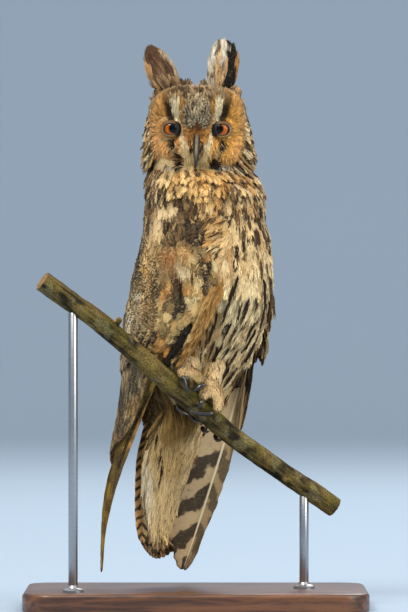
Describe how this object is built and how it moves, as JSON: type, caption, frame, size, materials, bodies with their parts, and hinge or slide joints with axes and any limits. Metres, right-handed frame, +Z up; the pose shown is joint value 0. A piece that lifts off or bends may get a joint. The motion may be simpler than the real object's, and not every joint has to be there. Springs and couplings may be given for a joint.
{
  "type": "perched long-eared owl figure",
  "caption": "Upright long-eared owl gripping a sloping cut branch, head facing forward, wings folded, on a flat base with vertical rods.",
  "frame": {"origin": "centre of the stand base's underside, which is the bottom of the whole", "axes": "+Z up, -Y the way the owl's face looks, +X the owl's own left"},
  "size_m": [0.26, 0.17, 0.4315],
  "materials": {
    "head": "soft facial disc and crown plumage",
    "neck": "soft mottled plumage",
    "torso": "buff plumage with dark shaft streaks",
    "beak": "dark horn",
    "eye": "wet orange iris round a black pupil",
    "ear_tuft": "dark feathers with buff edges",
    "wing": "mottled feather vanes",
    "primaries": "barred flight feathers",
    "tail": "barred flight feathers",
    "undertail_coverts": "pale cream feathers",
    "leg": "short dense plumage",
    "foot": "short dense peach plumage",
    "claw": "dark horn",
    "perch": "weathered bark with moss",
    "stand_base": "satin varnish",
    "stand_rod": "satin steel"
  },
  "bodies": {
    "root": {"head": "head", "neck": "neck", "torso": "torso", "bill_upper": "beak", "bill_lower": "beak", "eye_left": "eye", "eye_right": "eye", "ear_tuft_left": "ear_tuft", "ear_tuft_right": "ear_tuft", "wing_left": "wing", "wing_right": "wing", "primaries_left": "primaries", "primaries_right": "primaries", "tail": "tail", "undertail_coverts": "undertail_coverts", "leg_left": "leg", "leg_right": "leg", "foot_left": "foot", "foot_right": "foot", "claw_left_1": "claw", "claw_left_2": "claw", "claw_left_3": "claw", "claw_left_4": "claw", "claw_right_1": "claw", "claw_right_2": "claw", "claw_right_3": "claw", "claw_right_4": "claw", "perch_branch": "perch", "stand_base": "stand_base", "stand_rod_left": "stand_rod", "stand_rod_right": "stand_rod"}
  },
  "joints": []
}
